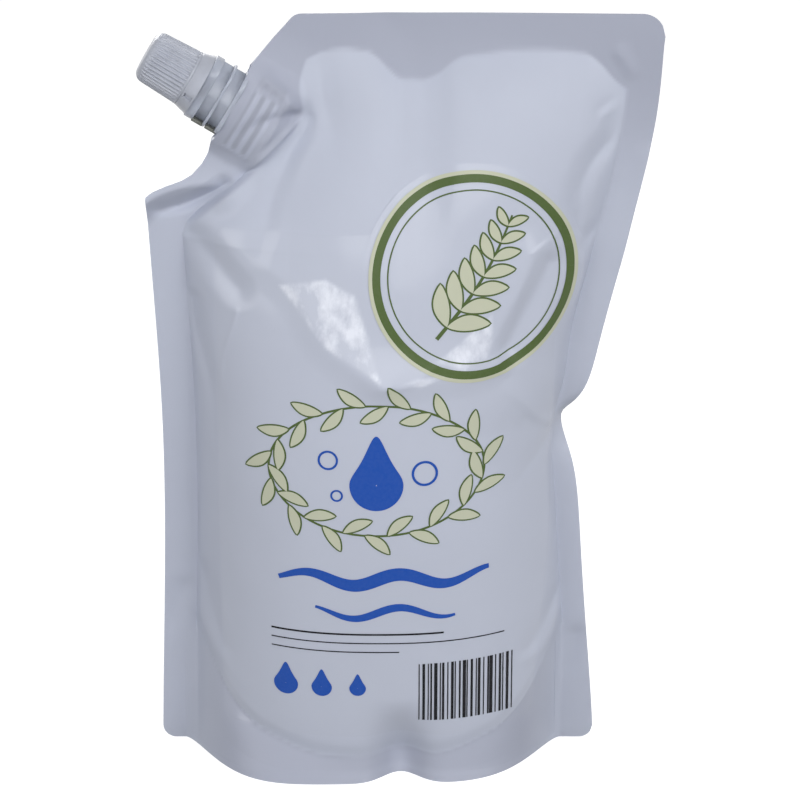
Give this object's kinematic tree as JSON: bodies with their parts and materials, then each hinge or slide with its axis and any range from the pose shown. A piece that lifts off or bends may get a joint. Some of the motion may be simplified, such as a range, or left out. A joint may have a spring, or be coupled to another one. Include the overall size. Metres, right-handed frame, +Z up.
{
  "type": "laundry detergent refill pouch",
  "caption": "Stand-up film refill pouch of liquid laundry detergent with a bottom gusset and a screw-capped pouring spout in its cut top corner.",
  "frame": {"origin": "middle of the flat middle of the gusset, on the surface that the pouch stands on", "axes": "+Z up, -Y towards the front with the labels, -X towards the side with the spout"},
  "size_m": [0.1825, 0.0748, 0.278],
  "materials": {
    "pearl_film": "pearly silver-white film with a soft sheen",
    "clear_label_film": "clear glossy film",
    "clear_grey_moulding": "translucent natural plastic",
    "white_cap_plastic": "fine satin white",
    "liner_foam": "soft foam"
  },
  "bodies": {
    "filled_pouch": {"pouch": "pearl_film", "front_label": "clear_label_film", "round_sticker": "clear_label_film", "spout": "clear_grey_moulding", "tamper_ring": "white_cap_plastic"},
    "cap_carrier": {"cap_liner": "liner_foam"},
    "screw_cap": {"cap": "white_cap_plastic"}
  },
  "joints": [
    {"name": "cap_lift", "type": "slide", "parent": "filled_pouch", "child": "cap_carrier", "axis": [-0.8572, 0, 0.515], "range_m": [0, 0.01]},
    {"name": "cap_turn", "type": "hinge", "parent": "cap_carrier", "child": "screw_cap", "pos_m": [-0.06493, -0.003, 0.2563], "axis": [-0.8572, 0, 0.515], "range_deg": [0, 720]}
  ],
  "couplings": [
    {"joint": "cap_lift", "follows": "cap_turn", "m_per_rad": 0.00063662}
  ]
}
